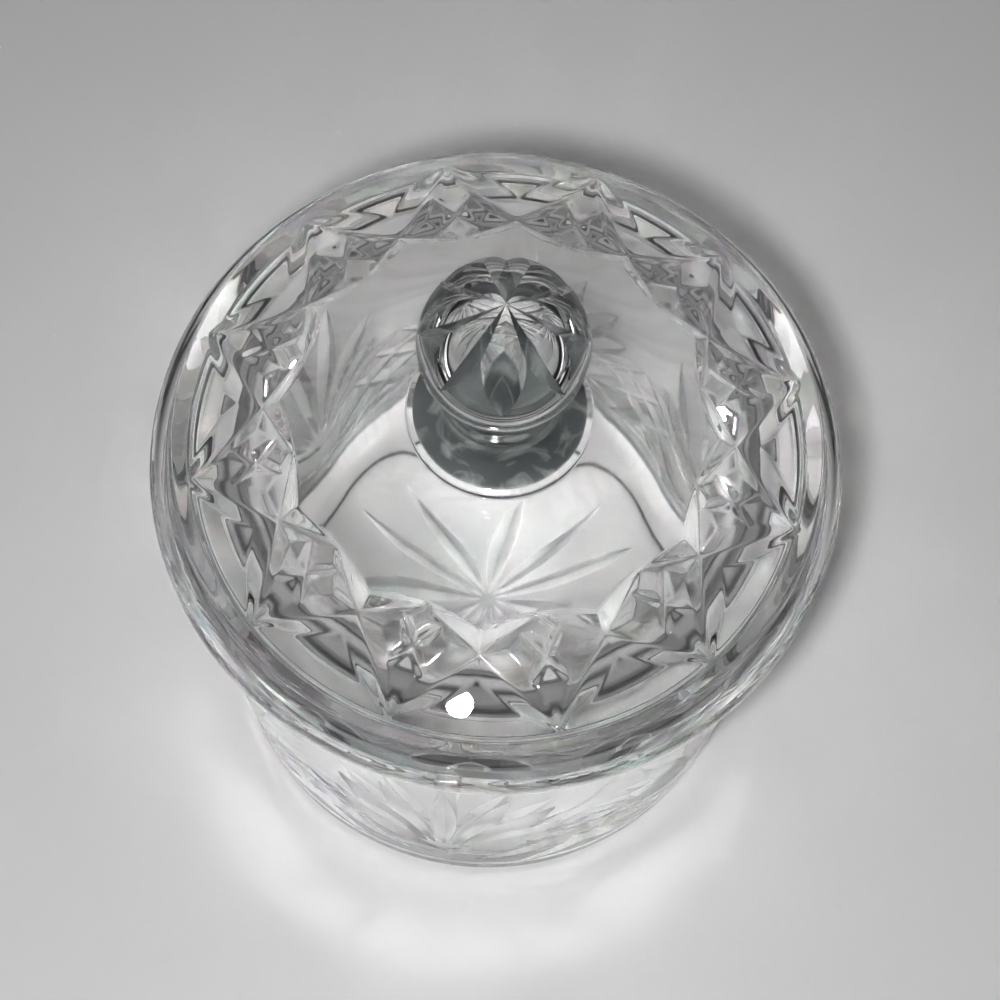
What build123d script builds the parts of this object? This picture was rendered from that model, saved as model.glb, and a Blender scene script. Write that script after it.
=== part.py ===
"""Cut-crystal canister: a jar with a flared lip, a domed lid that rests on it, and the lid's ball knob.

Millimetres, +Z up. The origin is the middle of the base, on the table.
"""

import os
from math import asin, cos, degrees, radians, sin, sqrt, tan

from build123d import *

# Jar body
jar_height = 124.0  # table to the ground lip
lip_diameter = 150.0
lip_thickness = 4.0
lip_bevel = 1.2
flare_height = 9.0  # lip top down to where the wall starts to flare
flare_radius = 14.0
lip_overhang = 4.6  # lip beyond the wall just under the flare
wall_taper = 1.6  # how far the wall leans in from the flare down to the table
heel_radius = 5.0
wall_thickness = 6.0
mouth_bevel = 0.8
floor_thickness = 12.0
floor_bevel = 8.0
foot_ring_width = 12.0
base_recess = 1.5

# Lid
lid_setback = 3.4  # lip's edge to the lid's edge
lid_edge_height = 8.1
lid_edge_draw = 2.0  # how far the edge leans in over its height
lid_edge_bevel = 0.8
lid_shoulder_bevel = 1.2
dome_radius = 210.0
lid_thickness = 8.0  # at the crown
hollow_radius = 30.0  # flat middle of the hollow under the lid
hollow_drop = 6.0  # flat middle down to the top of the collar's bore
collar_clearance = 1.0
collar_depth = 6.0
collar_thickness = 5.0  # at its foot
collar_draw = 6.0  # how far the bore narrows upwards
collar_bevel = 0.8
pad_margin = 1.4  # ground pad beyond the knob's foot
pad_rise = 0.7  # pad above the crown of the dome

# Knob
foot_diameter = 36.0
foot_edge = 1.2
foot_slope_diameter = 25.6  # where the foot's slope turns up to the bead
foot_slope_rise = 2.6
bead_overhang = 1.9  # bead beyond the waist
bead_height = 8.4  # foot to the middle of the bead
bead_thickness = 2.4
bead_bevel = 0.8
waist_diameter = 20.8
ball_diameter = 33.6
ball_height = 29.2  # foot to the middle of the ball

# Lid pattern: a ring of diamonds between crossing mitres, each with a cross of fine cuts
diamond_count = 12
diamond_turn = 13.7  # degrees from +X
diamond_margin = 3.8  # upper corner of the lid's edge to a diamond's tip
diamond_length = 22.4  # tip to heel, towards the axis
mitre_depth = 1.98  # below the chord from end to end
mitre_half_angle = 55.0
cross_setback = 14.2  # tip to the middle of the cross
cross_length = 19.0
cross_depth = 0.76
cross_half_angle = 57.0

# Knob pattern: a star of straight cuts from the crown
star_rays = 8
star_turn = 1.5
star_reach = 79.0  # degrees from the crown to a ray's tip
star_depth = 0.3  # at the crown
star_half_angle = 51.0

# Wall pattern: fans between fields of crossed diagonals
fan_count = 6
fan_turn = 24.0
fan_height = 26.0  # table to the point that a fan springs from
fan_gap = 9.0  # springing point to the near end of a ray
fan_spread = 13.0  # degrees between rays
fan_ray_drops = (0.0, 3.0, 10.0, 24.0)  # how much shorter than the middle ray, outwards
plain_band = 20.0  # flare down to the tips of the middle rays
fan_depth = 1.4
fan_half_angle = 66.0
field_height = 56.0  # table to the top of a field of diagonals
field_lines = 3
field_step = 7.5  # height between one diagonal and the next
field_half_angle = 58.0

# Base pattern: a star of leaf cuts under the floor
base_star_rays = 12
base_star_margin = 7.3  # foot ring's recess to a ray's tip
base_star_gap = 2.0
base_star_depth = 1.6
base_star_half_angle = 62.0

lip_radius = lip_diameter / 2
shoulder_radius = lip_radius - lip_overhang
base_radius = shoulder_radius - wall_taper
mouth_radius = shoulder_radius - wall_thickness
cavity_radius = base_radius - wall_thickness
foot_inner_radius = base_radius - foot_ring_width
shoulder_height = jar_height - flare_height
lid_radius = lip_radius - lid_setback
lid_shoulder = lid_radius - lid_edge_draw
collar_radius = mouth_radius - collar_clearance
collar_bore_radius = collar_radius - collar_thickness
foot_radius = foot_diameter / 2
pad_radius = foot_radius + pad_margin
cutter_reach = wall_thickness  # every cutting edge stands higher than the wall is thick


def sagitta(radius, ball_radius):
    """Drop of a ball's surface below its crown, at a radius from its axis."""
    return ball_radius - sqrt(ball_radius**2 - radius**2)


crown_height = jar_height + lid_edge_height + sagitta(lid_shoulder, dome_radius)
pad_height = crown_height + pad_rise
dome_centre = Vector(0, 0, crown_height - dome_radius)
hollow_height = crown_height - lid_thickness


def dome_height(radius):
    """Height of the lid's outer face above the table."""
    return crown_height - sagitta(radius, dome_radius)


def wall_radius(height):
    """Outside radius of the jar's wall at a height above the table."""
    return base_radius + (shoulder_radius - base_radius) * height / shoulder_height


def dome_point(radius, angle):
    """Point on the lid's outer face."""
    return Vector(radius * cos(radians(angle)), radius * sin(radians(angle)), dome_height(radius))


def wall_point(angle, height):
    """Point on the jar's wall."""
    radius = wall_radius(height)
    return Vector(radius * cos(radians(angle)), radius * sin(radians(angle)), height)


def fan_point(distance, lean):
    """Point on the jar's wall at a distance from a fan's springing point, along a ray that leans."""
    turn = degrees(distance * sin(radians(lean)) / shoulder_radius)
    return wall_point(turn, fan_height + distance * cos(radians(lean)))


def cut_plane(start, end, outward):
    """Plane at the middle of a cut, with X along the cut and Z out of the glass."""
    along = (end - start).normalized()
    return Plane((start + end) * 0.5, x_dir=along, z_dir=outward - along * outward.dot(along))


def wall_plane(start, end):
    """Plane at the middle of a cut in the jar's wall."""
    return cut_plane(start, end, Vector(start.X + end.X, start.Y + end.Y, 0))


def v_section(half_angle):
    """Corners of a V edge, point down at the origin."""
    half_width = cutter_reach * tan(radians(half_angle))
    return (0, 0), (half_width, cutter_reach), (-half_width, cutter_reach)


def wheel_cutter(length, depth, half_angle):
    """Stretch of a V-edged wheel that cuts a leaf of this length and depth, with its chord on X."""
    radius = (length**2 / 4 + depth**2) / (2 * depth)
    axle = Axis((0, 0, radius - depth), (0, 1, 0))
    sweep = 2 * degrees(asin((length / 2 + depth) / radius))
    with BuildPart() as wheel:
        with BuildSketch(Plane((0, 0, -depth), x_dir=(0, 1, 0), z_dir=(1, 0, 0))):
            with BuildLine():
                Polyline(*v_section(half_angle), close=True)
            make_face()
        revolve(axis=axle, revolution_arc=sweep)
    return wheel.part.rotate(axle, -sweep / 2)


def straight_cutter(length, half_angle):
    """V-edged bar that cuts a straight mitre, with the bottom of the cut on X."""
    with BuildPart() as bar:
        with BuildSketch(Plane.YZ):
            with BuildLine():
                Polyline(*v_section(half_angle), close=True)
            make_face()
        extrude(amount=length / 2 + cutter_reach, both=True)
    return bar.part


# Lid: domed disc with a thick edge, a collar that drops into the mouth and a pad for the knob
diamond_step = 360 / diamond_count
diamond_tip_radius = lid_shoulder - diamond_margin
diamond_heel_radius = diamond_tip_radius - diamond_length
cross_radius = diamond_tip_radius - cross_setback
mitre_tip = dome_point(diamond_tip_radius, 0)
mitre_heel = dome_point(diamond_heel_radius, diamond_step)
mitre_cutter = wheel_cutter((mitre_heel - mitre_tip).length, mitre_depth, mitre_half_angle)
cross_middle = dome_point(cross_radius, 0)
cross_cutter = wheel_cutter(cross_length, cross_depth, cross_half_angle)

with BuildPart() as lid:
    with BuildSketch(Plane.XZ):
        with BuildLine():
            Polyline((0, pad_height), (pad_radius, pad_height), (pad_radius, dome_height(pad_radius)))
            ThreePointArc(
                (pad_radius, dome_height(pad_radius)),
                (cross_radius, dome_height(cross_radius)),
                (lid_shoulder, dome_height(lid_shoulder)),
            )
            Polyline(
                (lid_shoulder, dome_height(lid_shoulder)),
                (lid_radius, jar_height),
                (collar_radius, jar_height),
                (collar_radius, jar_height - collar_depth),
                (collar_bore_radius, jar_height - collar_depth),
                (collar_bore_radius - collar_draw, hollow_height - hollow_drop),
                (hollow_radius, hollow_height),
                (0, hollow_height),
                (0, pad_height),
            )
        make_face()
    revolve(axis=Axis.Z)
    rings = lid.edges().filter_by(GeomType.CIRCLE)
    chamfer(rings.filter_by(lambda ring: abs(ring.radius - lid_shoulder) < 0.01), lid_shoulder_bevel)
    chamfer(rings.filter_by(lambda ring: abs(ring.radius - lid_radius) < 0.01), lid_edge_bevel)
    chamfer(lid.faces().sort_by(Axis.Z)[0].edges(), collar_bevel)
    with PolarLocations(0, diamond_count, start_angle=diamond_turn):
        for side in (1, -1):
            heel = dome_point(diamond_heel_radius, side * diamond_step)
            mitre = cut_plane(mitre_tip, heel, (mitre_tip + heel) * 0.5 - dome_centre)
            with Locations(mitre.location):
                add(mitre_cutter, mode=Mode.SUBTRACT)
            arm = mitre.x_dir * (cross_length / 2)
            cross = cut_plane(cross_middle - arm, cross_middle + arm, cross_middle - dome_centre)
            with Locations(cross.location):
                add(cross_cutter, mode=Mode.SUBTRACT)

# Knob: foot, bead, waist and ball turned in one piece, with a star cut in its crown
waist_radius = waist_diameter / 2
bead_radius = waist_radius + bead_overhang
ball_radius = ball_diameter / 2
bead_bottom = pad_height + bead_height - bead_thickness / 2
bead_top = bead_bottom + bead_thickness
ball_middle = pad_height + ball_height
ball_seat = ball_middle - sqrt(ball_radius**2 - waist_radius**2)
knob_top = ball_middle + ball_radius
star_tip_angle = radians(star_reach)
star_tip = Vector(ball_radius * sin(star_tip_angle), 0, ball_middle + ball_radius * cos(star_tip_angle))
star_start = Vector(0, 0, knob_top - star_depth)
star_plane = cut_plane(star_start, star_tip, (star_start + star_tip) * 0.5 - Vector(0, 0, ball_middle))
star_cutter = straight_cutter((star_tip - star_start).length, star_half_angle)

with BuildPart() as knob:
    with BuildSketch(Plane.XZ):
        with BuildLine():
            Polyline(
                (0, pad_height),
                (foot_radius, pad_height),
                (foot_radius, pad_height + foot_edge),
                (foot_slope_diameter / 2, pad_height + foot_edge + foot_slope_rise),
                (waist_radius, bead_bottom),
                (bead_radius, bead_bottom + bead_bevel),
                (bead_radius, bead_top - bead_bevel),
                (waist_radius, bead_top),
                (waist_radius, ball_seat),
            )
            ThreePointArc((waist_radius, ball_seat), (ball_radius, ball_middle), (0, knob_top))
            Line((0, knob_top), (0, pad_height))
        make_face()
    revolve(axis=Axis.Z)
    with PolarLocations(0, star_rays, start_angle=star_turn):
        with Locations(star_plane.location):
            add(star_cutter, mode=Mode.SUBTRACT)

# Jar: tapering wall with a flared lip, a thick floor and a foot ring, cut with fans and diagonals
half_step = 180 / fan_count
field_shift = half_step * field_step / (field_height - fan_height)
middle_ray_length = shoulder_height - plain_band - fan_height - fan_gap
base_star_radius = foot_inner_radius - base_recess - base_star_margin
base_near = Vector(base_star_gap, 0, base_recess)
base_tip = Vector(base_star_radius, 0, base_recess)
base_leaf = cut_plane(base_near, base_tip, Vector(0, 0, -1))
base_cutter = wheel_cutter((base_tip - base_near).length, base_star_depth, base_star_half_angle)

with BuildPart() as jar:
    with BuildSketch(Plane.XZ):
        with BuildLine():
            FilletPolyline(
                (0, base_recess),
                (foot_inner_radius - base_recess, base_recess),
                (foot_inner_radius, 0),
                (base_radius, 0),
                (shoulder_radius, shoulder_height),
                (lip_radius, jar_height - lip_thickness),
                (lip_radius, jar_height - lip_bevel),
                (lip_radius - lip_bevel, jar_height),
                (mouth_radius + mouth_bevel, jar_height),
                (mouth_radius, jar_height - mouth_bevel),
                (cavity_radius, floor_thickness + floor_bevel),
                (cavity_radius - floor_bevel, floor_thickness),
                (0, floor_thickness),
                radius=[0, 0, heel_radius, flare_radius, 0, 0, 0, 0, 0, 0, 0],
            )
            Line((0, floor_thickness), (0, base_recess))
        make_face()
    revolve(axis=Axis.Z)
    with PolarLocations(0, fan_count, start_angle=fan_turn):
        for side in (1, -1):
            for line in range(field_lines):
                low = wall_point(side * line * field_shift, fan_height - line * field_step)
                high = wall_point(side * (half_step + line * field_shift), field_height - line * field_step)
                with Locations(wall_plane(low, high).location):
                    add(straight_cutter((high - low).length, field_half_angle), mode=Mode.SUBTRACT)
        for ray, drop in enumerate(fan_ray_drops):
            for side in (1, -1) if ray else (1,):
                near = fan_point(fan_gap, side * ray * fan_spread)
                tip = fan_point(fan_gap + middle_ray_length - drop, side * ray * fan_spread)
                with Locations(wall_plane(near, tip).location):
                    add(wheel_cutter((tip - near).length, fan_depth, fan_half_angle), mode=Mode.SUBTRACT)
    with PolarLocations(0, base_star_rays, start_angle=fan_turn):
        with Locations(base_leaf.location):
            add(base_cutter, mode=Mode.SUBTRACT)

os.makedirs("parts", exist_ok=True)
jar.part.label = "jar"
lid.part.label = "lid"
knob.part.label = "knob"
export_step(jar.part, "parts/jar.step")
export_step(lid.part, "parts/lid.step")
export_step(knob.part, "parts/knob.step")
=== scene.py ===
"""Cut-crystal canister: the looks of its jar, lid and knob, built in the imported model's frame.

Sizes in the classes are millimetres and degrees. Meshes are metres, +Z up, with the origin on the table.
"""

import logging
import math
from collections.abc import Callable, Sequence
from dataclasses import dataclass
from enum import Enum

import bmesh
import bpy
import numpy as np
from mathutils import Matrix, Vector


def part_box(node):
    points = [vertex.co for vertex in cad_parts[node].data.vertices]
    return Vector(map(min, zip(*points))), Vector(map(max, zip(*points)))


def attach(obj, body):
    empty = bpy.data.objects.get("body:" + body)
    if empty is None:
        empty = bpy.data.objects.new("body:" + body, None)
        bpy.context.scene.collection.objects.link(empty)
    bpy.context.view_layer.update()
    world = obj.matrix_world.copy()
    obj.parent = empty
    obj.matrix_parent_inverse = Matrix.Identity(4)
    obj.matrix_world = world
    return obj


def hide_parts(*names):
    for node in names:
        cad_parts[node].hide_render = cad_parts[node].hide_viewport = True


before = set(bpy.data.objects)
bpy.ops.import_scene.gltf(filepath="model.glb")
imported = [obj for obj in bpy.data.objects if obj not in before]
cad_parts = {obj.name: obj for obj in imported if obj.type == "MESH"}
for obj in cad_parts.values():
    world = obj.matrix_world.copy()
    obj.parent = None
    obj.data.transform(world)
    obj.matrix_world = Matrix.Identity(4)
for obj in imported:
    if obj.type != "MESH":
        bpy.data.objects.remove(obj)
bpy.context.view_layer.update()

MM = 0.001
SMALL_ROUNDING = 2.0  # corners rounded by less than this are divided by the wide turn
WIDE_TURN = 9.0  # degrees from one point of a small rounding to the next
FINE_TURN = 3.0  # the same for a large rounding
STRAIGHT = 1e-4  # a corner that turns by less, in radians, is not rounded
ON_FACE = 0.01  # how near to a face a point has to lie to belong to it
log = logging.getLogger("canister")


class Side(Enum):
    """The two hands of a cut that is made left and right of its axis."""

    LEFT = 1
    RIGHT = -1


@dataclass(frozen=True)
class Corner:
    """A corner of a turned outline: distance from the axis, height, and the radius that rounds it."""

    r: float
    z: float
    rounding: float = 0.0


def linear(colour: str) -> tuple[float, float, float, float]:
    """Turns an sRGB hex colour to linear light.

    Args:
        colour: Six hex digits after a hash sign.

    Returns:
        Red, green, blue and an alpha of 1.
    """
    shares = [int(colour[i : i + 2], 16) / 255 for i in (1, 3, 5)]
    light = [c / 12.92 if c <= 0.04045 else ((c + 0.055) / 1.055) ** 2.4 for c in shares]
    return light[0], light[1], light[2], 1.0


def add_node(
    tree: bpy.types.NodeTree, kind: str, settings: dict | None = None, links: dict | None = None
) -> bpy.types.Node:
    """Adds a node, with its settings, and fills its inputs.

    Args:
        tree: The tree that gets the node.
        kind: The node's type name.
        settings: Properties of the node.
        links: A value or another node's output for each input, by its name or number.

    Returns:
        The new node.
    """
    node = tree.nodes.new(kind)
    for name, value in (settings or {}).items():
        setattr(node, name, value)
    for name, value in (links or {}).items():
        if isinstance(value, bpy.types.NodeSocket):
            tree.links.new(value, node.inputs[name])
        else:
            node.inputs[name].default_value = value
    return node


def mesh_object(name: str, points: np.ndarray, faces: Sequence[Sequence[int]]) -> bpy.types.Object:
    """Makes a closed mesh object with its faces pointing outwards.

    Args:
        name: The object's name.
        points: One row per vertex, in millimetres.
        faces: Vertex numbers of each face.

    Returns:
        The object, linked to the scene.
    """
    mesh = bpy.data.meshes.new(name)
    mesh.from_pydata((points * MM).tolist(), [], faces)
    work = bmesh.new()
    work.from_mesh(mesh)
    bmesh.ops.recalc_face_normals(work, faces=work.faces)
    work.to_mesh(mesh)
    work.free()
    piece = bpy.data.objects.new(name, mesh)
    bpy.context.scene.collection.objects.link(piece)
    return piece


def smooth_max(one: np.ndarray, other: np.ndarray, blend: float) -> np.ndarray:
    """Gives the greater of two heights, with the crease between them rounded over a blend."""
    share = np.clip(0.5 + 0.5 * (one - other) / blend, 0, 1)
    return other + (one - other) * share + blend * share * (1 - share)


def ball_drop(radius: float, ball_radius: float) -> float:
    """Gives how far a ball's surface lies under its crown, at a radius from its axis."""
    return ball_radius - math.sqrt(ball_radius**2 - radius**2)


def rounded(corners: Sequence[Corner], step: float) -> np.ndarray:
    """Rounds the corners of a turned outline and divides its long runs.

    Args:
        corners: The outline's corners in order.
        step: The longest run between two points.

    Returns:
        Rows of distance from the axis and height.
    """
    points = [np.array((corners[0].r, corners[0].z))]
    for before, here, after in zip(corners, corners[1:], corners[2:]):
        at = np.array((here.r, here.z))
        back = np.array((before.r, before.z)) - at
        ahead = np.array((after.r, after.z)) - at
        back /= np.linalg.norm(back)
        ahead /= np.linalg.norm(ahead)
        opening = math.acos(max(-1.0, min(1.0, float(back @ ahead))))
        if here.rounding == 0 or math.pi - opening < STRAIGHT:
            points.append(at)
            continue
        bisector = (back + ahead) / np.linalg.norm(back + ahead)
        centre = at + bisector * here.rounding / math.sin(opening / 2)
        first = at + back * here.rounding / math.tan(opening / 2) - centre
        sweep = math.pi - opening
        hand = math.copysign(1.0, float(back[1] * ahead[0] - back[0] * ahead[1]))
        turn = WIDE_TURN if here.rounding < SMALL_ROUNDING else FINE_TURN
        count = max(2, math.ceil(math.degrees(sweep) / turn))
        for i in range(count + 1):
            angle = hand * sweep * i / count
            c, s = math.cos(angle), math.sin(angle)
            points.append(centre + np.array((c * first[0] - s * first[1], s * first[0] + c * first[1])))
    points.append(np.array((corners[-1].r, corners[-1].z)))
    divided = [points[0]]
    for start, end in zip(points, points[1:]):
        parts = max(1, math.ceil(np.linalg.norm(end - start) / step))
        divided += [start + (end - start) * (i + 1) / parts for i in range(parts)]
    return np.array(divided)


def turned(
    name: str,
    outline: np.ndarray,
    segments: int,
    finer: Sequence[int] = (),
    shape: Callable[[np.ndarray], np.ndarray] | None = None,
) -> bpy.types.Object:
    """Turns an outline that starts and ends on the axis into a closed solid of revolution.

    Args:
        name: The object's name.
        outline: Rows of distance from the axis and height.
        segments: Divisions round the axis.
        finer: For each row of the outline, how many times finer than that it is divided.
        shape: Moves the turned points where the piece is carved.

    Returns:
        The turned piece.
    """
    shares = list(finer) or [1] * len(outline)
    rings, starts, total = [], [], 0
    for (r, z), share in zip(outline[1:-1], shares[1:-1]):
        angles = np.linspace(0, 2 * math.pi, segments * share, endpoint=False)
        rings.append(np.column_stack((r * np.cos(angles), r * np.sin(angles), np.full(len(angles), z))))
        starts.append(total)
        total += len(angles)
    ends = np.array([(0, 0, outline[0][1]), (0, 0, outline[-1][1])])
    points = np.vstack([*rings, ends])
    faces = []
    for i in range(segments):
        j = (i + 1) % segments
        faces.append((total, starts[0] + i, starts[0] + j))
        faces.append((total + 1, starts[-1] + j, starts[-1] + i))
    for low, high, a, b in zip(starts, starts[1:], shares[1:], shares[2:]):
        steps = a if a == b else 1
        for i in range(segments * steps):
            below = [low + (i * a // steps + n) % (segments * a) for n in range(a // steps + 1)]
            above = [high + (i * b // steps + n) % (segments * b) for n in range(b // steps + 1)]
            faces.append((*below, *reversed(above)))
    return mesh_object(name, shape(points) if shape else points, faces)


@dataclass(frozen=True)
class Cutter:
    """A V-edged cutting wheel, or with no depth a straight V-edged bar."""

    half_angle: float  # from the middle of the V to its flank
    depth: float = 0.0  # below the chord from end to end
    reach: float = 6.0  # from the V's point out of the glass
    step: float = 1.2  # from one section of a wheel to the next
    edge: float = 0.15  # rounding of the V's point where the cut is carved

    def sections(self, length: float) -> list[tuple[float, float, float, float]]:
        """Gives the V's point and shoulders along a cut.

        Args:
            length: From one end of the cut to the other, on the uncut surface.

        Returns:
            Along and up for the V's point, then along and up for its shoulders.
        """
        if self.depth == 0:
            half = length / 2 + self.reach
            return [(x, 0.0, x, self.reach) for x in (-half, half)]
        radius = (length**2 / 4 + self.depth**2) / (2 * self.depth)
        sweep = math.asin((length / 2 + self.depth) / radius)
        count = 2 * math.ceil(length / self.step / 2)
        rows = []
        for i in range(count + 1):
            angle = sweep * (2 * i / count - 1)
            inner = radius - self.reach
            rows.append(
                (
                    radius * math.sin(angle),
                    radius - self.depth - radius * math.cos(angle),
                    inner * math.sin(angle),
                    radius - self.depth - inner * math.cos(angle),
                )
            )
        return rows

    def tool(self, name: str, start: Vector, end: Vector, outward: Vector) -> bpy.types.Object:
        """Makes the cutter's solid where it cuts.

        Args:
            name: The object's name.
            start: One end of the cut, on the uncut surface.
            end: The other end.
            outward: Out of the glass.

        Returns:
            The solid to take away.
        """
        along = (end - start).normalized()
        up = (outward - along * outward.dot(along)).normalized()
        axes = np.array((along, up.cross(along), up)).T
        middle = np.array((start + end) / 2)
        wide = self.reach * math.tan(math.radians(self.half_angle))
        local = [
            corner
            for x, z, shoulder_x, shoulder_z in self.sections((end - start).length)
            for corner in ((x, 0, z), (shoulder_x, wide, shoulder_z), (shoulder_x, -wide, shoulder_z))
        ]
        count = len(local) // 3
        faces = [(0, 1, 2), (3 * count - 3, 3 * count - 1, 3 * count - 2)]
        for k in range(count - 1):
            for a, b in ((0, 1), (1, 2), (2, 0)):
                faces.append((3 * k + a, 3 * k + b, 3 * k + 3 + b, 3 * k + 3 + a))
        return mesh_object(name, np.array(local) @ axes.T + middle, faces)

    def bite(self, points: np.ndarray, start: Vector, end: Vector, outward: Vector) -> np.ndarray:
        """Gives how deep a cut goes under points of the uncut surface.

        Args:
            points: One row per point.
            start: One end of the cut, on the uncut surface.
            end: The other end.
            outward: Out of the glass.

        Returns:
            The depth at each point, below zero where the wheel passes over it.
        """
        along = (end - start).normalized()
        up = (outward - along * outward.dot(along)).normalized()
        away = points - np.array((start + end) / 2)
        x, y, z = (away @ np.array(axis) for axis in (along, up.cross(along), up))
        radius = ((end - start).length ** 2 / 4 + self.depth**2) / (2 * self.depth)
        bottom = radius - self.depth - np.sqrt(np.maximum(radius**2 - x**2, 0))
        flank = np.sqrt(y**2 + self.edge**2) - self.edge
        return z - bottom - flank / math.tan(math.radians(self.half_angle))


@dataclass(frozen=True)
class Crystal:
    """Lead crystal, nearly colourless, with the gloss and waviness that its making leaves.

    The high refractive index is what gives the eye bright edges and dark turns inside the cuts.
    """

    name: str
    roughness: float
    wave_mm: float
    wave_height_mm: float
    tint: str = "#FEFEFE"
    ior: float = 1.545

    def material(self) -> bpy.types.Material:
        """Builds the node material.

        Returns:
            A clear glass whose surface is slightly uneven.
        """
        made = bpy.data.materials.new(self.name)
        made.use_nodes = True
        tree = made.node_tree
        tree.nodes.clear()
        place = add_node(tree, "ShaderNodeTexCoord")
        noise = add_node(
            tree,
            "ShaderNodeTexNoise",
            {"noise_dimensions": "3D"},
            {"Vector": place.outputs["Object"], "Scale": 1 / (self.wave_mm * MM), "Detail": 1.0},
        )
        bump = add_node(
            tree,
            "ShaderNodeBump",
            None,
            {"Height": noise.outputs["Fac"], "Strength": 1.0, "Distance": self.wave_height_mm * MM},
        )
        glass = add_node(
            tree,
            "ShaderNodeBsdfPrincipled",
            None,
            {
                "Base Color": linear(self.tint),
                "Roughness": self.roughness,
                "IOR": self.ior,
                "Transmission Weight": 1.0,
                "Normal": bump.outputs["Normal"],
            },
        )
        add_node(tree, "ShaderNodeOutputMaterial", None, {"Surface": glass.outputs["BSDF"]})
        return made


@dataclass(frozen=True)
class PaintedShadeDisc:
    """Painted shade under the knob's ground foot: a dark grey film with paler streaks of painted light.

    Seen through the clear foot, it gives the eye a dark disc of painted shade that sets the knob off from
    the lid.
    """

    name: str = "grey_knob_cement"
    # painted shade: the dark that the clear foot shows, painted as a grey
    shade_film: str = "#454949"
    shade_film_share: float = 0.54  # of the noise that is plain painted shade
    # painted light: paler streaks painted into the shade
    painted_streak: str = "#868A8A"
    painted_streak_share: float = 0.74  # from which the noise is plain painted light streak
    painted_streak_mm: float = 9.0
    painted_streak_detail: float = 3.0
    painted_streak_curl: float = 1.5
    roughness: float = 0.5

    def material(self) -> bpy.types.Material:
        """Builds the node material.

        Returns:
            A dark grey of painted shade, with paler streaks of painted light, that shows through the clear
            foot.
        """
        made = bpy.data.materials.new(self.name)
        made.use_nodes = True
        tree = made.node_tree
        tree.nodes.clear()
        place = add_node(tree, "ShaderNodeTexCoord")
        noise = add_node(
            tree,
            "ShaderNodeTexNoise",
            {"noise_dimensions": "3D"},
            {
                "Vector": place.outputs["Object"],
                "Scale": 1 / (self.painted_streak_mm * MM),
                "Detail": self.painted_streak_detail,
                "Distortion": self.painted_streak_curl,
            },
        )
        shade = add_node(tree, "ShaderNodeValToRGB", None, {0: noise.outputs["Fac"]})
        # the noise runs from the painted shade to the painted light streaks
        shade_film, painted_streak = shade.color_ramp.elements
        shade_film.position, shade_film.color = self.shade_film_share, linear(self.shade_film)
        painted_streak.position, painted_streak.color = self.painted_streak_share, linear(self.painted_streak)
        body = add_node(
            tree,
            "ShaderNodeBsdfPrincipled",
            None,
            {"Base Color": shade.outputs["Color"], "Roughness": self.roughness},
        )
        add_node(tree, "ShaderNodeOutputMaterial", None, {"Surface": body.outputs["BSDF"]})
        return made


@dataclass(frozen=True)
class Finishes:
    """The canister's materials by where they are."""

    skin: bpy.types.Material
    hollow: bpy.types.Material
    collar: bpy.types.Material
    wall_cuts: bpy.types.Material
    facets: bpy.types.Material
    # painted shade, with painted light streaks, under the knob's foot
    cement: bpy.types.Material

    @classmethod
    def make(cls) -> "Finishes":
        """Makes every material once.

        Returns:
            The materials by where they are.
        """
        # Flame melts the skin smooth: sharp reflections that bend a little over long, low waves
        skin = Crystal("fire_polished_lead_crystal", 0.0, wave_mm=30.0, wave_height_mm=0.02)
        # The plunger chills the glass: a faint haze and shorter waves soften what shows through the lid
        hollow = Crystal("plunger_pressed_lead_crystal", 0.06, wave_mm=12.0, wave_height_mm=0.02)
        # Fine grit fits the collar to the mouth: a satin band that blurs what shows through it
        collar = Crystal("ground_lead_crystal", 0.18, wave_mm=4.0, wave_height_mm=0.004)
        # Acid clears the wheel's grey only in part: the wall's cuts look frosted beside the clear skin
        wall_cuts = Crystal("acid_polished_wall_cuts", 0.3, wave_mm=4.0, wave_height_mm=0.004)
        # A felt wheel polishes the knob's star: crisp facets, each with its own reflection
        facets = Crystal("wheel_polished_facets", 0.03, wave_mm=4.0, wave_height_mm=0.004)
        return cls(
            skin=skin.material(),
            hollow=hollow.material(),
            collar=collar.material(),
            wall_cuts=wall_cuts.material(),
            facets=facets.material(),
            # painted shade, with painted light streaks, under the knob's foot
            cement=PaintedShadeDisc().material(),
        )


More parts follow.
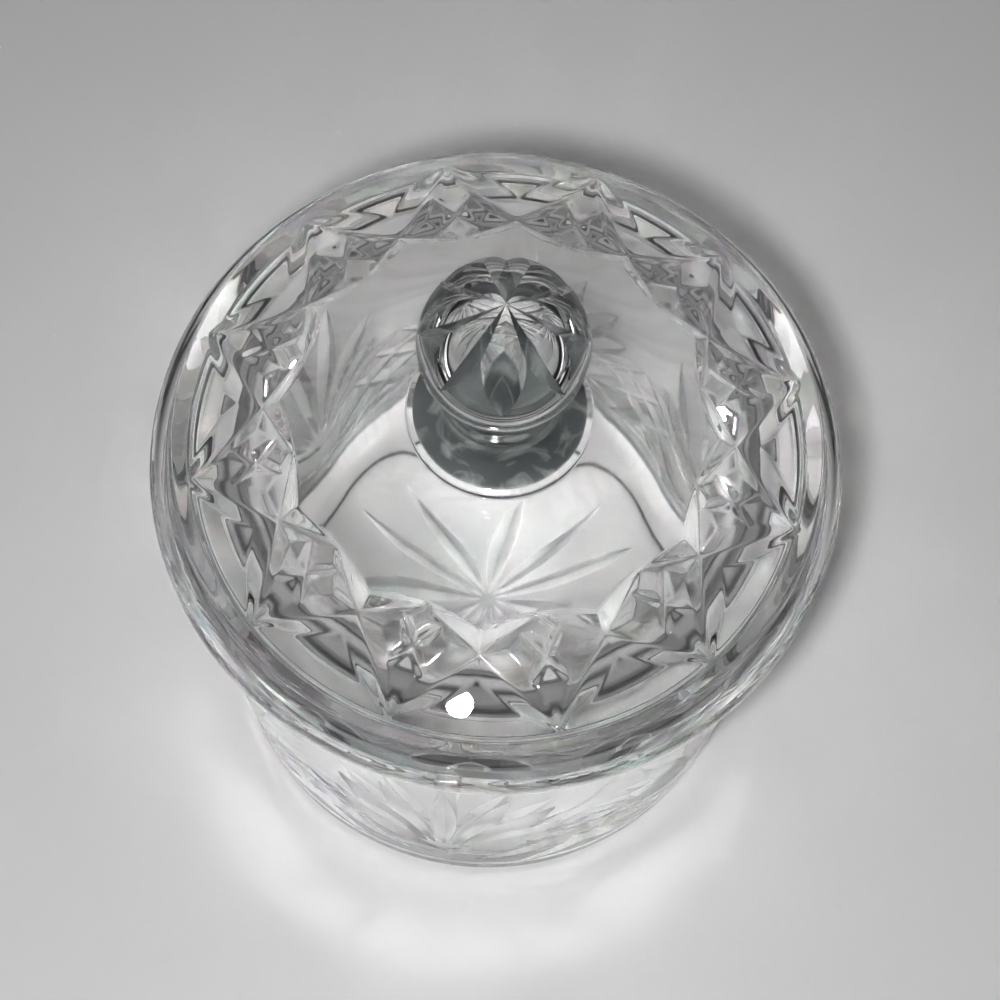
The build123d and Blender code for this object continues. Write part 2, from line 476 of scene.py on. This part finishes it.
class RingOfCuts:
    """Geometry Nodes tree that repeats one cutter round the axis and takes it out of the glass."""

    MARK = "cut"
    CREASE = 9.0  # edges that turn by more degrees than this stay sharp

    def __init__(self) -> None:
        """Builds the tree once for every pattern."""
        self.tree = bpy.data.node_groups.new("ring_of_cuts", "GeometryNodeTree")
        sides = self.tree.interface
        sides.new_socket("Geometry", in_out="OUTPUT", socket_type="NodeSocketGeometry")
        self.inputs = {
            name: sides.new_socket(name, in_out="INPUT", socket_type=kind).identifier
            for name, kind in (
                ("Geometry", "NodeSocketGeometry"),
                ("Cutter", "NodeSocketObject"),
                ("Count", "NodeSocketInt"),
                ("Turn", "NodeSocketFloat"),
                ("Finish", "NodeSocketMaterial"),
            )
        }
        tree = self.tree
        entry = add_node(tree, "NodeGroupInput")
        pitch = add_node(
            tree, "ShaderNodeMath", {"operation": "DIVIDE"}, {0: 2 * math.pi, 1: entry.outputs["Count"]}
        )
        index = add_node(tree, "GeometryNodeInputIndex")
        angle = add_node(
            tree,
            "ShaderNodeMath",
            {"operation": "MULTIPLY_ADD"},
            {0: index.outputs[0], 1: pitch.outputs[0], 2: entry.outputs["Turn"]},
        )
        euler = add_node(tree, "ShaderNodeCombineXYZ", None, {"Z": angle.outputs[0]})
        rotation = add_node(tree, "FunctionNodeEulerToRotation", None, {0: euler.outputs[0]})
        points = add_node(tree, "GeometryNodePoints", None, {"Count": entry.outputs["Count"]})
        cutter = add_node(tree, "GeometryNodeObjectInfo", None, {"Object": entry.outputs["Cutter"]})
        marked = add_node(
            tree,
            "GeometryNodeStoreNamedAttribute",
            {"data_type": "BOOLEAN", "domain": "FACE"},
            {"Geometry": cutter.outputs["Geometry"], "Name": self.MARK, "Value": True},
        )
        ring = add_node(
            tree,
            "GeometryNodeInstanceOnPoints",
            None,
            {"Points": points.outputs[0], "Instance": marked.outputs[0], "Rotation": rotation.outputs[0]},
        )
        cut = add_node(
            tree,
            "GeometryNodeMeshBoolean",
            {"operation": "DIFFERENCE", "solver": "MANIFOLD"},
            {"Mesh 1": entry.outputs["Geometry"], "Mesh 2": ring.outputs[0]},
        )
        realized = add_node(tree, "GeometryNodeRealizeInstances", None, {"Geometry": cut.outputs[0]})
        mark = add_node(
            tree, "GeometryNodeInputNamedAttribute", {"data_type": "BOOLEAN"}, {"Name": self.MARK}
        )
        finish = add_node(
            tree,
            "GeometryNodeSetMaterial",
            None,
            {
                "Geometry": realized.outputs[0],
                "Selection": mark.outputs["Attribute"],
                "Material": entry.outputs["Finish"],
            },
        )
        add_node(tree, "NodeGroupOutput", None, {0: finish.outputs[0]})

    def apply(
        self,
        piece: bpy.types.Object,
        tools: Sequence[tuple[bpy.types.Object, int, float]],
        finish: bpy.types.Material,
    ) -> bpy.types.Object:
        """Cuts the patterns into a piece, and leaves it a plain mesh.

        Args:
            piece: The blank.
            tools: Each cutter with its count and its turn in degrees.
            finish: The material of the cuts.

        Returns:
            The cut piece.
        """
        for tool, count, turn in tools:
            modifier = piece.modifiers.new(tool.name, "NODES")
            modifier.node_group = self.tree
            modifier[self.inputs["Cutter"]] = tool
            modifier[self.inputs["Count"]] = count
            modifier[self.inputs["Turn"]] = math.radians(turn)
            modifier[self.inputs["Finish"]] = finish
        ready = piece.evaluated_get(bpy.context.evaluated_depsgraph_get())
        mesh = bpy.data.meshes.new_from_object(ready)
        piece.modifiers.clear()
        blank, piece.data = piece.data, mesh
        bpy.data.meshes.remove(blank)
        mesh.name = piece.name
        mesh.shade_smooth()
        mesh.set_sharp_from_angle(angle=math.radians(self.CREASE))
        for tool, _, _ in tools:
            bpy.data.meshes.remove(tool.data)
        return piece


@dataclass
class Jar:
    """The jar: a tapering wall with a flared lip and a thick floor, cut with fans and crossed diagonals."""

    height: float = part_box("jar")[1].z / MM
    lip_radius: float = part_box("jar")[1].x / MM
    lip_thickness: float = 4.0
    lip_rounding: float = 1.9
    lip_under_rounding: float = 1.2
    flare_height: float = 9.0
    flare_radius: float = 14.0
    shoulder_radius: float = 70.4
    base_radius: float = 68.8
    heel_rounding: float = 5.0
    wall: float = 6.0
    mouth_rounding: float = 1.0
    floor: float = 12.0
    floor_bevel: float = 8.0
    floor_rounding: float = 8.0
    foot_ring: float = 12.0
    foot_rounding: float = 0.8
    recess: float = 1.5
    recess_rounding: float = 0.6
    fan_count: int = 6
    fan_turn: float = 24.0
    fan_height: float = 26.0
    fan_gap: float = 9.0  # from the springing point to the rays' near ends
    fan_spread: float = 13.0  # degrees from one ray to the next
    ray_lengths: tuple[float, ...] = (60.0, 57.0, 50.0, 36.0)
    ray_cutter: Cutter = Cutter(half_angle=66.0, depth=1.4)
    field_height: float = 56.0  # where the topmost diagonals meet between two fans
    field_lines: int = 3
    field_step: float = 7.5  # from one diagonal down to the next
    field_cutter: Cutter = Cutter(half_angle=58.0)
    star_rays: int = 12
    star_radius: float = 48.0
    star_gap: float = 2.0
    star_cutter: Cutter = Cutter(half_angle=62.0, depth=1.6)
    segments: int = 288
    step: float = 3.0

    @property
    def shoulder_height(self) -> float:
        """Height where the wall starts to flare."""
        return self.height - self.flare_height

    def blank(self) -> bpy.types.Object:
        """Turns the uncut jar.

        Returns:
            The jar without its patterns.
        """
        inner_foot = self.base_radius - self.foot_ring
        outline = rounded(
            [
                Corner(0, self.recess),
                Corner(inner_foot - self.recess, self.recess, self.recess_rounding),
                Corner(inner_foot, 0, self.foot_rounding),
                Corner(self.base_radius, 0, self.heel_rounding),
                Corner(self.shoulder_radius, self.shoulder_height, self.flare_radius),
                Corner(self.lip_radius, self.height - self.lip_thickness, self.lip_under_rounding),
                Corner(self.lip_radius, self.height, self.lip_rounding),
                Corner(self.shoulder_radius - self.wall, self.height, self.mouth_rounding),
                Corner(self.base_radius - self.wall, self.floor + self.floor_bevel, self.floor_rounding),
                Corner(self.base_radius - self.wall - self.floor_bevel, self.floor, self.floor_rounding),
                Corner(0, self.floor),
            ],
            self.step,
        )
        return turned("jar_body", outline, self.segments)

    def wall_point(self, angle: float, height: float) -> Vector:
        """Gives a point of the wall's outer face.

        Args:
            angle: Round the axis from +X.
            height: Above the table.

        Returns:
            The point, in millimetres.
        """
        share = height / self.shoulder_height
        radius = self.base_radius + (self.shoulder_radius - self.base_radius) * share
        turn = math.radians(angle)
        return Vector((radius * math.cos(turn), radius * math.sin(turn), height))

    def ray_point(self, distance: float, lean: float) -> Vector:
        """Gives a point of a fan's ray, from the springing point along a ray that leans."""
        turn = math.degrees(distance * math.sin(math.radians(lean)) / self.shoulder_radius)
        return self.wall_point(turn, self.fan_height + distance * math.cos(math.radians(lean)))

    def wall_tool(self, name: str, cutter: Cutter, start: Vector, end: Vector) -> bpy.types.Object:
        """Places a cutter against the wall."""
        return cutter.tool(name, start, end, Vector((start.x + end.x, start.y + end.y, 0)))

    def tools(self) -> list[tuple[bpy.types.Object, int, float]]:
        """Makes one cutter of each kind.

        Returns:
            Each cutter with its count and its turn.
        """
        half_step = 180 / self.fan_count
        shift = half_step * self.field_step / (self.field_height - self.fan_height)
        made = []
        for side in Side:
            for line in range(self.field_lines):
                low = self.wall_point(side.value * line * shift, self.fan_height - line * self.field_step)
                high = self.wall_point(
                    side.value * (half_step + line * shift), self.field_height - line * self.field_step
                )
                name = f"diagonal_{line}_{side.name.lower()}"
                tool = self.wall_tool(name, self.field_cutter, low, high)
                made.append((tool, self.fan_count, self.fan_turn))
        for ray, length in enumerate(self.ray_lengths):
            for side in Side if ray else (Side.LEFT,):
                lean = side.value * ray * self.fan_spread
                near, tip = self.ray_point(self.fan_gap, lean), self.ray_point(self.fan_gap + length, lean)
                tool = self.wall_tool(f"ray_{ray}_{side.name.lower()}", self.ray_cutter, near, tip)
                made.append((tool, self.fan_count, self.fan_turn))
        near, tip = Vector((self.star_gap, 0, self.recess)), Vector((self.star_radius, 0, self.recess))
        star = self.star_cutter.tool("base_ray", near, tip, Vector((0, 0, -1)))
        made.append((star, self.star_rays, self.fan_turn))
        return made

    def build(self, cuts: RingOfCuts, finishes: Finishes) -> bpy.types.Object:
        """Builds and dresses the jar, and sets it on its body.

        Args:
            cuts: The tree that cuts a pattern.
            finishes: The canister's materials.

        Returns:
            The finished piece.
        """
        blank = self.blank()
        blank.data.materials.append(finishes.skin)
        piece = cuts.apply(blank, self.tools(), finishes.wall_cuts)
        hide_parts("jar")
        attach(piece, "jar")
        return piece


@dataclass
class Lid:
    """The lid: a domed disc with a thick edge and a collar, cut with a ring of crossed diamonds."""

    seat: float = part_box("jar")[1].z / MM
    pad_height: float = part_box("knob")[0].z / MM
    air_gap: float = 0.08  # keeps the lid's and the jar's glass apart, as air does
    radius: float = 71.6
    edge_height: float = 8.1
    edge_draw: float = 2.0
    edge_rounding: float = 1.2
    shoulder_rounding: float = 1.8
    dome_radius: float = 210.0
    thickness: float = 8.0
    hollow_radius: float = 30.0  # flat middle of the underside
    hollow_drop: float = 6.0  # from there down to the top of the collar's bore
    hollow_rounding: float = 60.0
    collar_radius: float = 63.4
    collar_depth: float = 6.0
    collar_thickness: float = 5.0
    collar_draw: float = 6.0  # how far the bore narrows upwards
    collar_rounding: float = 1.2
    collar_root_rounding: float = 0.5
    bore_rounding: float = 10.0
    ground_radius: float = 45.0  # the underside is ground from here outwards
    underside_lean: float = 0.5  # upward part of a normal, under which a face is not the dome's
    underside_margin: float = 1.0
    pad_radius: float = 19.4
    pad_rounding: float = 0.3
    diamond_count: int = 12
    diamond_turn: float = 13.7
    tip_radius: float = 65.8
    heel_radius: float = 43.4
    mitre_cutter: Cutter = Cutter(half_angle=55.0, depth=1.98)
    cross_radius: float = 51.6
    cross_length: float = 19.0
    cross_cutter: Cutter = Cutter(half_angle=52.0, depth=1.15)
    edge_softness: float = 0.22  # rounding of the edges between facets, from the flame
    relief_inner: float = 41.0  # the dome is divided finely from here
    relief_outer: float = 68.0
    relief_step: float = 0.42
    relief_share: int = 4  # times finer round the axis
    crease: float = 40.0  # edges that turn by more degrees than this stay sharp
    segments: int = 240
    step: float = 3.0

    @property
    def shoulder(self) -> float:
        """Radius of the edge's upper corner."""
        return self.radius - self.edge_draw

    @property
    def crown(self) -> float:
        """Height of the dome's crown."""
        return self.seat + self.edge_height + ball_drop(self.shoulder, self.dome_radius)

    def dome_height(self, radius: float) -> float:
        """Gives the height of the outer face at a radius."""
        return self.crown - ball_drop(radius, self.dome_radius)

    def dome_point(self, radius: float, angle: float) -> Vector:
        """Gives a point of the outer face."""
        turn = math.radians(angle)
        return Vector((radius * math.cos(turn), radius * math.sin(turn), self.dome_height(radius)))

    def blank(self) -> bpy.types.Object:
        """Turns the lid, with its pattern carved as it is turned.

        Returns:
            The lid without its finishes.
        """
        bore = self.collar_radius - self.collar_thickness
        dome = [
            *np.arange(self.pad_radius + self.step, self.relief_inner, self.step),
            *np.arange(self.relief_inner, self.relief_outer, self.relief_step),
        ]
        hollow = self.crown - self.thickness
        under = self.seat + self.air_gap
        foot = self.seat - self.collar_depth
        outline = rounded(
            [
                Corner(0, self.pad_height),
                Corner(self.pad_radius, self.pad_height, self.pad_rounding),
                Corner(self.pad_radius, self.dome_height(self.pad_radius), self.pad_rounding),
                *[Corner(r, self.dome_height(r)) for r in dome],
                Corner(self.shoulder, self.dome_height(self.shoulder), self.shoulder_rounding),
                Corner(self.radius, under, self.edge_rounding),
                Corner(self.collar_radius, under, self.collar_root_rounding),
                Corner(self.collar_radius, foot, self.collar_rounding),
                Corner(bore, foot, self.collar_rounding),
                Corner(bore - self.collar_draw, hollow - self.hollow_drop, self.bore_rounding),
                Corner(self.hollow_radius, hollow, self.hollow_rounding),
                Corner(0, hollow),
            ],
            self.step,
        )
        edge = self.seat + self.edge_height
        in_relief = [self.relief_inner <= r < self.relief_outer and z > edge for r, z in outline]
        finer = [self.relief_share if carved else 1 for carved in in_relief]
        return turned("lid_dome", outline, self.segments, finer, self.carve)

    def carve(self, points: np.ndarray) -> np.ndarray:
        """Cuts the ring of crossed diamonds into the outer face.

        Args:
            points: One row per point of the uncut lid.

        Returns:
            The points, lowered along the dome's own normal where the pattern lies.
        """
        centre = Vector((0, 0, self.crown - self.dome_radius))
        away = points - np.array(centre)
        reach = np.linalg.norm(away, axis=1, keepdims=True)
        on_dome = np.abs(reach[:, 0] - self.dome_radius) < ON_FACE
        depth = np.zeros(int(on_dome.sum()))
        for i in range(self.diamond_count):
            turn = self.diamond_turn + 360 / self.diamond_count * i
            tip, middle = self.dome_point(self.tip_radius, turn), self.dome_point(self.cross_radius, turn)
            for side in Side:
                heel = self.dome_point(self.heel_radius, turn + side.value * 360 / self.diamond_count)
                arm = (heel - tip).normalized() * self.cross_length / 2
                for cutter, start, end in (
                    (self.mitre_cutter, tip, heel),
                    (self.cross_cutter, middle - arm, middle + arm),
                ):
                    bite = cutter.bite(points[on_dome], start, end, (start + end) / 2 - centre)
                    depth = smooth_max(bite, depth, self.edge_softness)
        carved = points.copy()
        carved[on_dome] -= (away / reach)[on_dome] * depth[:, None]
        return carved

    def build(self, finishes: Finishes) -> bpy.types.Object:
        """Builds and dresses the lid, and sets it on its body.

        Args:
            finishes: The canister's materials.

        Returns:
            The finished piece.
        """
        piece = self.blank()
        for finish in (finishes.skin, finishes.hollow, finishes.collar):
            piece.data.materials.append(finish)
        top = self.crown - self.thickness + self.underside_margin
        for face in piece.data.polygons:
            radius, height = Vector(face.center[:2]).length / MM, face.center.z / MM
            if face.normal.z < self.underside_lean and radius < self.collar_radius and height < top:
                face.material_index = 1 if radius < self.ground_radius else 2
        piece.data.shade_smooth()
        piece.data.set_sharp_from_angle(angle=math.radians(self.crease))
        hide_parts("lid")
        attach(piece, "lid")
        return piece


@dataclass
class Knob:
    """The knob: foot, bead, waist and ball turned in one, with a star cut in the crown."""

    seat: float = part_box("knob")[0].z / MM
    top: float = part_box("knob")[1].z / MM
    shade_film: float = 0.03  # thickness of the painted shade film under the foot
    foot_radius: float = 18.0
    foot_edge: float = 1.2
    foot_rounding: float = 0.5
    cone_spread: float = 2.4  # the foot's cone ends this much wider than the waist
    cone_drop: float = 3.4  # and this much under the bead
    cone_rounding: float = 5.0
    neck_spread: float = 0.4  # the neck under the bead is this much wider than the waist
    neck_rounding: float = 0.3
    bead_radius: float = 12.3
    bead_height: float = 8.4
    bead_thickness: float = 2.4
    bead_rounding: float = 1.1
    waist_radius: float = 10.4
    waist_rounding: float = 0.6
    ball_radius: float = 16.8
    ball_height: float = 29.2
    ball_seat_rounding: float = 0.8
    ball_turn: float = 2.5  # degrees from one row of the ball to the next
    star_rays: int = 8
    star_turn: float = 1.5
    star_reach: float = 79.0  # degrees from the crown to a ray's tip
    star_depth: float = 0.3  # at the crown
    facing_down: float = -0.9  # upward part of a normal, under which a face looks down
    star_cutter: Cutter = Cutter(half_angle=51.0)
    segments: int = 192
    step: float = 1.5

    def blank(self) -> bpy.types.Object:
        """Turns the uncut knob.

        Returns:
            The knob without its star.
        """
        middle = self.seat + self.ball_height
        low = self.seat + self.bead_height - self.bead_thickness / 2
        high = low + self.bead_thickness
        seat_angle = math.degrees(math.asin(self.waist_radius / self.ball_radius))
        rows = [math.radians(a) for a in np.arange(seat_angle, 180, self.ball_turn)]
        radius = self.ball_radius
        ball = [Corner(radius * math.sin(a), middle - radius * math.cos(a)) for a in rows]
        ball[0] = Corner(ball[0].r, ball[0].z, self.ball_seat_rounding)
        outline = rounded(
            [
                Corner(0, self.seat + self.shade_film),
                Corner(self.foot_radius, self.seat + self.shade_film),
                Corner(self.foot_radius, self.seat + self.foot_edge, self.foot_rounding),
                Corner(self.waist_radius + self.cone_spread, low - self.cone_drop, self.cone_rounding),
                Corner(self.waist_radius + self.neck_spread, low, self.neck_rounding),
                Corner(self.bead_radius, low, self.bead_rounding),
                Corner(self.bead_radius, high, self.bead_rounding),
                Corner(self.waist_radius, high, self.waist_rounding),
                *ball,
                Corner(0, middle + self.ball_radius),
            ],
            self.step,
        )
        return turned("ball_knob", outline, self.segments)

    def tools(self) -> list[tuple[bpy.types.Object, int, float]]:
        """Makes the star's cutter.

        Returns:
            The cutter with its count and its turn.
        """
        middle = Vector((0, 0, self.seat + self.ball_height))
        reach = math.radians(self.star_reach)
        tip = middle + self.ball_radius * Vector((math.sin(reach), 0, math.cos(reach)))
        start = middle + Vector((0, 0, self.ball_radius - self.star_depth))
        ray = self.star_cutter.tool("crown_ray", start, tip, (start + tip) / 2 - middle)
        return [(ray, self.star_rays, self.star_turn)]

    def build(self, cuts: RingOfCuts, finishes: Finishes) -> bpy.types.Object:
        """Builds and dresses the knob, and sets it on the lid's body.

        Args:
            cuts: The tree that cuts a pattern.
            finishes: The canister's materials.

        Returns:
            The finished piece.
        """
        blank = self.blank()
        blank.data.materials.append(finishes.skin)
        blank.data.materials.append(finishes.cement)
        # the foot's flat underside takes the painted shade and its painted light streaks
        for face in blank.data.polygons:
            if face.normal.z < self.facing_down and face.center.z / MM < self.seat + self.shade_film + ON_FACE:
                face.material_index = 1
        piece = cuts.apply(blank, self.tools(), finishes.facets)
        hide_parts("knob")
        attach(piece, "lid")
        return piece


@dataclass(frozen=True)
class Lamp:
    """A round lamp that points at the lid, with a choice of the ways that its light takes."""

    name: str
    place: tuple[float, float, float]
    width: float
    power: float
    straight: bool = False
    in_gloss: bool = False
    through_glass: bool = False
    image: float = 1.0  # share of its brightness that is left in its own image

    def hang(self, aim: Vector) -> bpy.types.Object:
        """Hangs the lamp.

        Args:
            aim: The point that it shines at, in metres.

        Returns:
            The lamp's object.
        """
        data = bpy.data.lights.new(self.name, "AREA")
        data.shape = "DISK"
        data.size = self.width * MM
        data.energy = self.power
        lamp = bpy.data.objects.new(self.name, data)
        lamp.location = Vector(self.place) * MM
        lamp.rotation_euler = (aim - lamp.location).to_track_quat("-Z", "Y").to_euler()
        lamp.visible_diffuse = self.straight
        lamp.visible_glossy = self.in_gloss
        lamp.visible_transmission = self.through_glass
        bpy.context.scene.collection.objects.link(lamp)
        self.soften_image(data)
        return lamp

    def soften_image(self, data: bpy.types.Light) -> None:
        """Dims the lamp's own image in the glass, and not the light that it throws through the glass.

        Args:
            data: The lamp's light.
        """
        data.use_nodes = True
        tree = data.node_tree
        tree.nodes.clear()
        ray = add_node(tree, "ShaderNodeLightPath")
        share = add_node(
            tree,
            "ShaderNodeMapRange",
            None,
            {"Value": ray.outputs["Diffuse Depth"], "To Min": self.image, "To Max": 1.0},
        )
        light = add_node(tree, "ShaderNodeEmission", None, {"Strength": share.outputs[0]})
        add_node(tree, "ShaderNodeOutputLight", None, {"Surface": light.outputs[0]})


@dataclass
class Studio:
    """A plain pale floor, soft lamps and the camera at the photograph's angle."""

    floor_colour: str = "#BDBDBD"
    floor_width: float = 4000.0
    floor_gap: float = 0.05
    floor_roughness: float = 0.6
    floor_gloss: float = 0.3
    camera_place: tuple[float, float, float] = (0.0, -154.3, 481.5)
    pitch: float = 68.29
    yaw: float = 0.493
    roll: float = 3.953
    lens: float = 64.8
    sensor_width: float = 36.0
    nearest: float = 10.0  # what is nearer to the camera than this is not drawn
    # A small lamp beside the lens, its light that comes through the glass, and an even fill
    lamps: tuple[Lamp, ...] = (
        Lamp("key", place=(-24, -175, 483), width=30, power=2.2, straight=True, in_gloss=True),
        Lamp("glow", place=(-24, -175, 490), width=80, power=3.8, through_glass=True, image=0.003),
        Lamp("fill", place=(0, 0, 3000), width=5000, power=40, straight=True),
    )
    aim_height: float = 120.0  # the lamps point at the axis here
    glass_bounces: int = 32  # enough for light to leave the cuts again
    gloss_bounces: int = 16
    wall_colour: str = "#7A7A7A"
    ceiling_colour: str = "#101010"
    wall_top: float = 0.05
    ceiling_start: float = 0.3

    def lay_floor(self) -> bpy.types.Object:
        """Lays the floor just under the base.

        Returns:
            The floor.
        """
        half, z = self.floor_width / 2, -self.floor_gap
        points = np.array([(-half, -half, z), (half, -half, z), (half, half, z), (-half, half, z)])
        floor = mesh_object("floor", points, [(0, 1, 2, 3)])
        made = bpy.data.materials.new("matt_board")
        made.use_nodes = True
        board = made.node_tree.nodes["Principled BSDF"]
        board.inputs["Base Color"].default_value = linear(self.floor_colour)
        board.inputs["Roughness"].default_value = self.floor_roughness
        board.inputs["Specular IOR Level"].default_value = self.floor_gloss
        floor.data.materials.append(made)
        return floor

    def set_world(self) -> None:
        """Gives the room pale walls and a dark ceiling, so that the cuts have light and dark to bend."""
        world = bpy.data.worlds.new("soft_room")
        world.use_nodes = True
        tree = world.node_tree
        tree.nodes.clear()
        place = add_node(tree, "ShaderNodeTexCoord")
        parts = add_node(tree, "ShaderNodeSeparateXYZ", None, {0: place.outputs["Generated"]})
        shade = add_node(tree, "ShaderNodeValToRGB", None, {0: parts.outputs["Z"]})
        wall, ceiling = shade.color_ramp.elements
        wall.position, wall.color = self.wall_top, linear(self.wall_colour)
        ceiling.position, ceiling.color = self.ceiling_start, linear(self.ceiling_colour)
        sky = add_node(tree, "ShaderNodeBackground", None, {"Color": shade.outputs[0]})
        add_node(tree, "ShaderNodeOutputWorld", None, {"Surface": sky.outputs[0]})
        bpy.context.scene.world = world

    def set_camera(self) -> None:
        """Stands the camera where the photograph was taken from."""
        pitch, yaw, roll = (math.radians(a) for a in (self.pitch, self.yaw, self.roll))
        level, drop = math.cos(pitch), -math.sin(pitch)
        forward = Vector((math.sin(yaw) * level, math.cos(yaw) * level, drop))
        right = Vector((math.cos(yaw), -math.sin(yaw), 0))
        up = right.cross(forward)
        across = math.cos(roll) * right + math.sin(roll) * up
        upright = -math.sin(roll) * right + math.cos(roll) * up
        data = bpy.data.cameras.new("camera")
        data.sensor_width = self.sensor_width
        data.lens = self.lens
        data.clip_start = self.nearest * MM
        camera = bpy.data.objects.new("camera", data)
        turn = Matrix((across, upright, -forward)).transposed()
        camera.matrix_world = Matrix.Translation(Vector(self.camera_place) * MM) @ turn.to_4x4()
        bpy.context.scene.collection.objects.link(camera)
        bpy.context.scene.camera = camera

    def build(self) -> None:
        """Sets the floor, the light and the camera."""
        self.lay_floor()
        for lamp in self.lamps:
            lamp.hang(Vector((0, 0, self.aim_height * MM)))
        self.set_world()
        self.set_camera()
        scene = bpy.context.scene
        scene.view_settings.view_transform = "Standard"
        scene.cycles.max_bounces = self.glass_bounces
        scene.cycles.transmission_bounces = self.glass_bounces
        scene.cycles.glossy_bounces = self.gloss_bounces
        scene.cycles.sample_clamp_indirect = 0.0
        scene.cycles.blur_glossy = 0.0
        scene.cycles.use_adaptive_sampling = False
        scene.cycles.use_guiding = True


def main() -> None:
    """Builds the canister's pieces and the studio round them."""
    logging.basicConfig(level=logging.INFO, format="%(name)s: %(message)s")
    cuts = RingOfCuts()
    finishes = Finishes.make()
    for piece in (Jar().build(cuts, finishes), Lid().build(finishes), Knob().build(cuts, finishes)):
        log.info("%s: %d faces", piece.name, len(piece.data.polygons))
    Studio().build()


if __name__ == "__main__":
    main()
